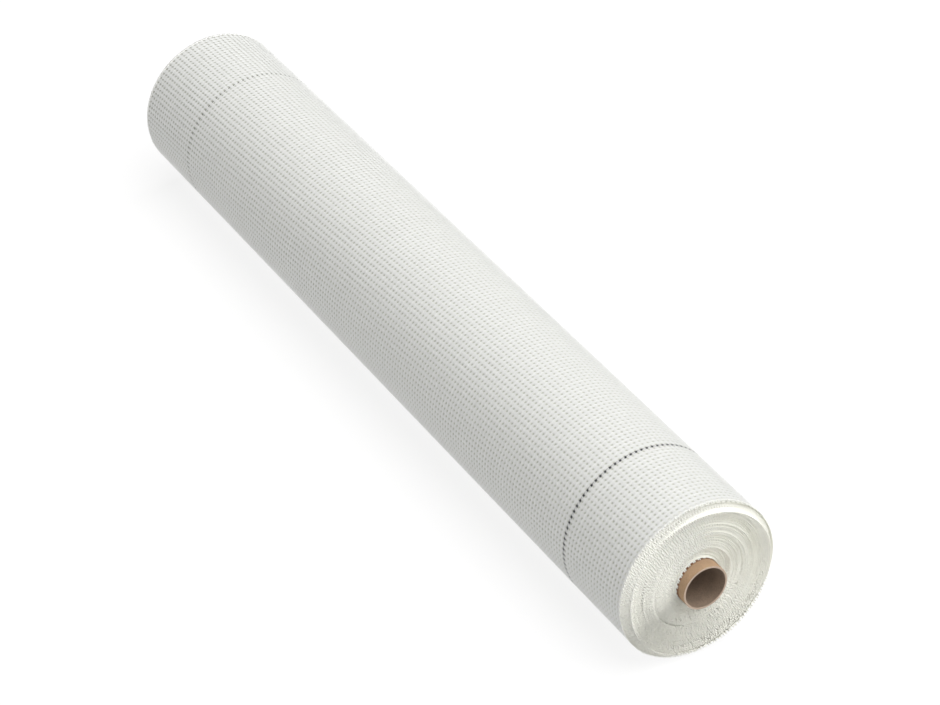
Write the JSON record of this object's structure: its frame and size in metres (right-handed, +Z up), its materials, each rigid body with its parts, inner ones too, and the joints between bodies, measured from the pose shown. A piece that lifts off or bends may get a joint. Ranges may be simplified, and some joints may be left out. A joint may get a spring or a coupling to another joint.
{
  "type": "roll of fiberglass mesh",
  "caption": "Roll of white open-weave glass-fibre reinforcing mesh for render, wound on a cardboard core that stands out at both ends.",
  "frame": {"origin": "on the floor, under the middle of the roll's length", "axes": "+Z up, X along the axis of the roll, with +X towards the end where the outer turns of mesh stand out"},
  "size_m": [1.028, 0.1702, 0.1702],
  "materials": {
    "glass_fibre_mesh": "woven glass-fibre yarns with a white alkali-resistant coating, slightly glossy",
    "kraft_cardboard": "matt brown kraft board, spirally wound"
  },
  "bodies": {
    "root": {"mesh_roll": "glass_fibre_mesh", "core_tube": "kraft_cardboard"}
  },
  "joints": []
}
